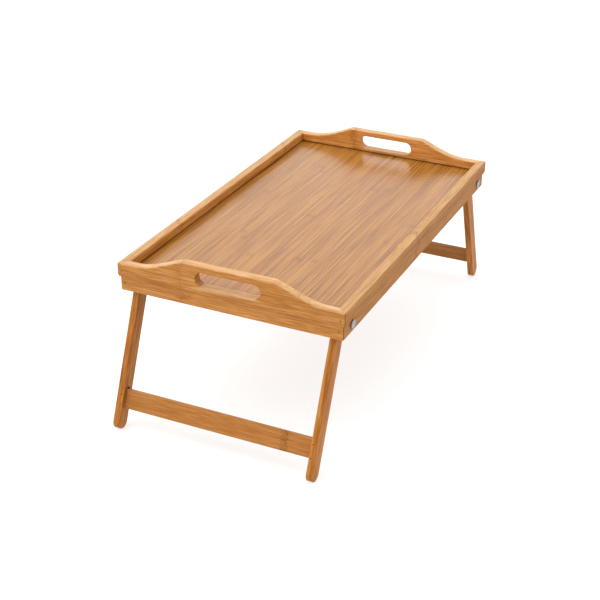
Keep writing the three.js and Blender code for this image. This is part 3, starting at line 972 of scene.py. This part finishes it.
def build_bar(end_name):
    """A cross bar with rounded edges, let into a mortise at each end."""
    end = ENDS[end_name]
    half_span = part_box(f"{end_name}_cross_bar")[1].y
    half_x, half_z = BAR_THICKNESS / 2, BAR_WIDTH / 2

    def section(y, inset):
        """The bar's outline at one place, moved in by the inset."""
        loop = []
        for angle, sx, sz in ((0, 1, 1), (90, -1, 1), (180, -1, -1), (270, 1, -1)):
            centre = (sx * (half_x - BAR_ARRIS), sz * (half_z - BAR_ARRIS))
            loop += arc(centre, BAR_ARRIS - inset, angle, angle + 90, ARC_STEPS)
        return [(x, y, z - BAR_REACH) for x, z in loop]

    bar = skinned(f"{end_name}_cross_bar_detail", [
        section(-half_span, BAR_END_ARRIS), section(-half_span + BAR_END_ARRIS, 0),
        section(half_span - BAR_END_ARRIS, 0), section(half_span, BAR_END_ARRIS),
    ])
    shade(bar)
    grained(bar, "YZX", GRAIN_START[f"{end_name}_bar"])
    splayed(bar, end)
    install(bar, frame_name(end), f"{end_name}_bar", f"{end_name}_cross_bar")


# ---- Fasteners ----

HEAD_RIM = 0.55 * MM  # rounding of a bolt head's outer edge
HEAD_CHAMFER = 0.15 * MM  # on its underside
HEAD_DISH = 0.06 * MM  # how far the head's middle lies below its rim
HEAD_DISH_SHARE = 0.45  # radius of that middle, against the head's
THREAD_PITCH = 0.8 * MM
THREAD_DEPTH = 0.42 * MM
THREAD_LENGTH = 3.2 * MM
THREAD_RINGS = 34
TIP_LENGTH = 0.5 * MM  # the bolt's tapered tip
TIP_TAPER = 0.45 * MM
WASHER_ARRIS = 0.25 * MM
NUT_CHAMFER = math.radians(30)  # on the hexagon's corners
NUT_FACE_SHARE = 0.97  # radius of the nut's flat face, against half of its width across flats
NUT_COLLAR_ARRIS = 0.6 * MM
INSERT_SEAT_DEPTH = 0.8 * MM  # the seat of the nylon ring in the nut's collar
INSERT_SEAT_RADIUS = BORE_RADIUS + 0.25 * MM
INSERT_DEPTHS = (0.12 * MM, 0.75 * MM)  # the ring's two faces, below the collar's end
INSERT_PLAY = 0.03 * MM
INSERT_ARRIS = 0.08 * MM
BRAD_POINT = 2 * MM  # length of the tapered point
BRAD_POINT_SHARE = 0.15  # radius at its end, against the brad's
BRAD_EDGE = 0.25 * MM  # length of the rounding at the head
BRAD_EDGE_SHARE = 0.85
BRAD_DISH = 0.15 * MM  # depth of the punch mark in the head
BRAD_DISH_SHARE = 0.45


def rounded_section(low, high, inner, outer, arris):
    """Section of a ring with eased outer edges, as (radius, y) points."""
    return [
        (inner, low),
        *arc((outer - arris, low + arris), arris, -90, 0, SMALL_ARC_STEPS),
        *arc((outer - arris, high - arris), arris, 0, 90, SMALL_ARC_STEPS),
        (inner, high),
    ]


def at_pivot(obj, end, side):
    """Moves a piece built round the Y axis to its pivot, mirrored for the right-hand side."""
    mirrored(obj, y=side)
    obj.data.transform(pivot_shift(end))


def y_span(node):
    """Nearest and furthest distance of a node from the tray's middle plane, and its radius."""
    low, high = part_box(node)
    near, far = sorted((abs(low.y), abs(high.y)))
    return near, far, (high.z - low.z) / 2


def thread_ring(y, tip):
    """A bolt's outline at a distance from its tip, with the thread's flanks running round it."""
    taper = TIP_TAPER * (1 - min(1.0, y / TIP_LENGTH))
    depth = THREAD_DEPTH * min(1.0, (THREAD_LENGTH - y) / THREAD_PITCH)
    ring = []
    for a in full_turns(ROUND_SIDES):
        phase = (y / THREAD_PITCH - a / math.tau) % 1.0
        radius = SHANK_RADIUS - depth * abs(2 * phase - 1) - taper
        ring.append((radius * math.cos(a), tip + y, radius * math.sin(a)))
    return ring


def build_bolt(corner, end, side):
    """A bolt with a low round head, threaded where it holds the nut."""
    node = f"pivot_bolt_{corner}"
    tip, outer, head_radius = y_span(node)
    seat = outer - HEAD_HEIGHT
    rings = [thread_ring(y, tip) for y in np.linspace(0, THREAD_LENGTH, THREAD_RINGS)]
    head = [
        (SHANK_RADIUS, seat),
        (head_radius - HEAD_CHAMFER, seat),
        (head_radius, seat + HEAD_CHAMFER),
        *arc((head_radius - HEAD_RIM, outer - HEAD_RIM), HEAD_RIM, 0, 90, ARC_STEPS),
        (head_radius * HEAD_DISH_SHARE, outer - HEAD_DISH),
    ]
    rings += [y_ring(radius, y) for radius, y in head]
    bolt = skinned(f"{node}_detail", rings)
    at_pivot(bolt, end, side)
    shade(bolt)
    install(bolt, "tray", "steel", node)


def build_washers(corner, end, side):
    for kind in ("spacer_washer", "inner_washer"):
        node = f"{kind}_{corner}"
        near, far, radius = y_span(node)
        section = rounded_section(near, far, BORE_RADIUS, radius, WASHER_ARRIS)
        washer = ringed(f"{node}_detail", [y_ring(r, y) for r, y in section])
        at_pivot(washer, end, side)
        shade(washer)
        install(washer, "tray", "steel", node)


def build_nut(corner, end, side):
    """A lock nut: a hexagon with chamfered corners, and a rolled collar with a seat for its nylon ring."""
    node = f"lock_nut_{corner}"
    collar_end, base, _ = y_span(node)
    apothem = NUT_ACROSS_FLATS / 2
    face_radius = apothem * NUT_FACE_SHARE
    hex_end = base - NUT_HEX_HEIGHT
    seat_end = collar_end + INSERT_SEAT_DEPTH

    def ring(radius, y):
        return y_ring(radius, y, NUT_SIDES)

    def flank(y, inwards):
        """The hexagon's edge at one of its ends, where the chamfer cuts the six flats."""
        loop = []
        for a in full_turns(NUT_SIDES):
            radius = apothem / math.cos((a + math.pi / 6) % (math.pi / 3) - math.pi / 6)
            drop = (radius - face_radius) * math.tan(NUT_CHAMFER)
            loop.append((radius * math.cos(a), y + inwards * drop, radius * math.sin(a)))
        return loop

    collar = arc(
        (NUT_COLLAR_RADIUS - NUT_COLLAR_ARRIS, collar_end + NUT_COLLAR_ARRIS), NUT_COLLAR_ARRIS,
        0, -90, ARC_STEPS,
    )
    nut = ringed(f"{node}_detail", [
        ring(BORE_RADIUS, base),
        ring(face_radius, base),
        flank(base, -1),
        flank(hex_end, 1),
        ring(face_radius, hex_end),
        ring(NUT_COLLAR_RADIUS, hex_end),
        *[ring(radius, y) for radius, y in collar],
        ring(INSERT_SEAT_RADIUS, collar_end),
        ring(INSERT_SEAT_RADIUS, seat_end),
        ring(BORE_RADIUS, seat_end),
    ])
    at_pivot(nut, end, side)
    shade(nut)
    install(nut, "tray", "steel", node)
    build_insert(corner, end, side, collar_end)


def build_insert(corner, end, side, collar_end):
    """The nylon ring in the lock nut's collar, which keeps the nut from working loose."""
    low, high = (collar_end + depth for depth in INSERT_DEPTHS)
    section = rounded_section(
        low, high, SHANK_RADIUS + INSERT_PLAY, INSERT_SEAT_RADIUS - INSERT_PLAY, INSERT_ARRIS
    )
    insert = ringed(f"nylon_insert_{corner}", [y_ring(r, y) for r, y in section])
    at_pivot(insert, end, side)
    shade(insert)
    insert.data.materials.append(MATERIALS["nylon"])
    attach(insert, "tray")


def brad_mesh(name, point, head):
    """A headless nail from its point to its head, which has a punch mark."""
    point, head = Vector(point), Vector(head)
    length = (head - point).length
    turn = (head - point).to_track_quat("Z", "Y").to_matrix()
    profile = [
        (BRAD_POINT_SHARE, 0),
        (1, BRAD_POINT),
        (1, length - BRAD_EDGE),
        (BRAD_EDGE_SHARE, length),
        (BRAD_DISH_SHARE, length - BRAD_DISH),
    ]
    return skinned(name, [
        [
            point + turn @ Vector((share * BRAD_RADIUS * math.cos(a), share * BRAD_RADIUS * math.sin(a), z))
            for a in full_turns(BRAD_SIDES)
        ]
        for share, z in profile
    ])


def build_corner_brads(corner):
    for row in (1, 2, 3):
        node = f"corner_brad_{corner}_{row}"
        brad = brad_mesh(f"{node}_detail", *corner_brad_line(node))
        shade(brad)
        install(brad, "tray", "nail", node)


def build_leg_brads(corner, end, side):
    for row in (1, 2):
        node = f"leg_brad_{corner}_{row}"
        brad = brad_mesh(f"{node}_detail", *leg_brad_line(end, side, row))
        splayed(brad, end)
        shade(brad)
        install(brad, frame_name(end), "nail", node)


# ---- Camera, studio floor and light ----

CAMERA_AZIMUTH = math.radians(-65.78)
CAMERA_ELEVATION = math.radians(27.45)
CAMERA_ROLL = math.radians(0.91)
CAMERA_DISTANCE = 1.3966
CAMERA_TARGET = Vector((-0.24178, -0.08516, TOP_Z))
LENS = 77.01
SENSOR = 36.0

STUDIO_REACH = 60.0  # from the middle of the studio floor to its sides
STUDIO_TONES = (0.39, 0.41)
STUDIO_ROUGHNESS = 0.9
STUDIO_GLOW = 0.62  # the floor is lit a little from within, so that it stays white under the tray

BRIGHT_SIDE = (0.42, 0.70, 0.58)  # the studio is brightest above and behind the tray
SKY_FACING = (-0.35, 0.85)  # facing away from and towards that side
SKY_STRENGTH = (0.62, 1.85)
LIGHTS = {  # place, aim, side of the square and power
    "key": ((-0.8, 0.8, 1.9), (-0.1, 0, 0.15), 1.4, 10),
    "fill": ((-2.6, 0.5, 1.1), (0, 0, 0.15), 1.5, 9),
    "side": ((-0.3, -2.4, 1.5), (0, 0, 0.15), 1.5, 13),
}


def build_camera():
    """Looks down on the tray's front end and right side, from a point on a sphere round its target."""
    flat = math.cos(CAMERA_ELEVATION)
    back = Vector((
        math.sin(CAMERA_AZIMUTH) * flat, -math.cos(CAMERA_AZIMUTH) * flat, math.sin(CAMERA_ELEVATION),
    ))
    data = bpy.data.cameras.new("camera")
    data.lens = LENS
    data.sensor_width = SENSOR
    camera = bpy.data.objects.new("camera", data)
    bpy.context.scene.collection.objects.link(camera)
    turn = (-back).to_track_quat("-Z", "Y").to_matrix() @ Matrix.Rotation(CAMERA_ROLL, 3, "Z")
    camera.matrix_world = Matrix.Translation(CAMERA_TARGET + back * CAMERA_DISTANCE) @ turn.to_4x4()
    bpy.context.scene.camera = camera


def build_studio_floor():
    """A plain pale floor, which stays in place while the tray moves."""
    corners = [(x * STUDIO_REACH, y * STUDIO_REACH, 0) for x, y in SQUARE]
    mesh = bpy.data.meshes.new("studio_floor")
    mesh.from_pydata(corners, [], [(0, 1, 2, 3)])
    floor = bpy.data.objects.new("studio_floor", mesh)
    bpy.context.scene.collection.objects.link(floor)
    material, t = new_material("studio_floor")
    cloud = t.noise(t.add("ShaderNodeTexCoord").outputs["Object"], 3.0, 2.0)
    tone = t.mix(cloud, *[(tone, tone, tone, 1) for tone in STUDIO_TONES])
    glow = {"Emission Color": (1, 1, 1, 1), "Emission Strength": STUDIO_GLOW}
    t.surface(tone, STUDIO_ROUGHNESS, None, glow)
    mesh.materials.append(material)


def build_sky():
    """Soft light from all round, brighter on one side. The camera sees plain white past the floor."""
    world = bpy.data.worlds.new("studio")
    world.use_nodes = True
    t = Tree(world)
    direction = t.add("ShaderNodeTexCoord").outputs["Generated"]
    facing = t.add("ShaderNodeVectorMath", {0: direction, 1: BRIGHT_SIDE}, operation="DOT_PRODUCT")
    strength = t.between(facing.outputs["Value"], *SKY_FACING, *SKY_STRENGTH)
    seen = t.add("ShaderNodeLightPath").outputs["Is Camera Ray"]
    shown = t.add("ShaderNodeMix", {0: seen, 2: strength, 3: 1.0}).outputs[0]
    background = t.add("ShaderNodeBackground", {"Color": (1, 1, 1, 1), "Strength": shown})
    t.add("ShaderNodeOutputWorld", {"Surface": background.outputs[0]})
    bpy.context.scene.world = world


def area_light(name, place, aim, size, power):
    data = bpy.data.lights.new(name, "AREA")
    data.shape = "SQUARE"
    data.size = size
    data.energy = power
    light = bpy.data.objects.new(name, data)
    light.location = place
    light.rotation_mode = "QUATERNION"
    light.rotation_quaternion = (Vector(aim) - Vector(place)).to_track_quat("-Z", "Y")
    bpy.context.scene.collection.objects.link(light)


build_camera()
build_studio_floor()
build_sky()
for name, light in LIGHTS.items():
    area_light(name, *light)
bpy.context.scene.view_settings.view_transform = "Standard"

build_floor()
for name in ENDS:
    build_end_panel(name)
    build_bar(name)
for name in SIDES:
    build_rail(name)
for corner, end, side in CORNERS:
    build_leg(corner, end, side)
    build_leg_brads(corner, end, side)
    build_corner_brads(corner)
    build_bolt(corner, end, side)
    build_washers(corner, end, side)
    build_nut(corner, end, side)
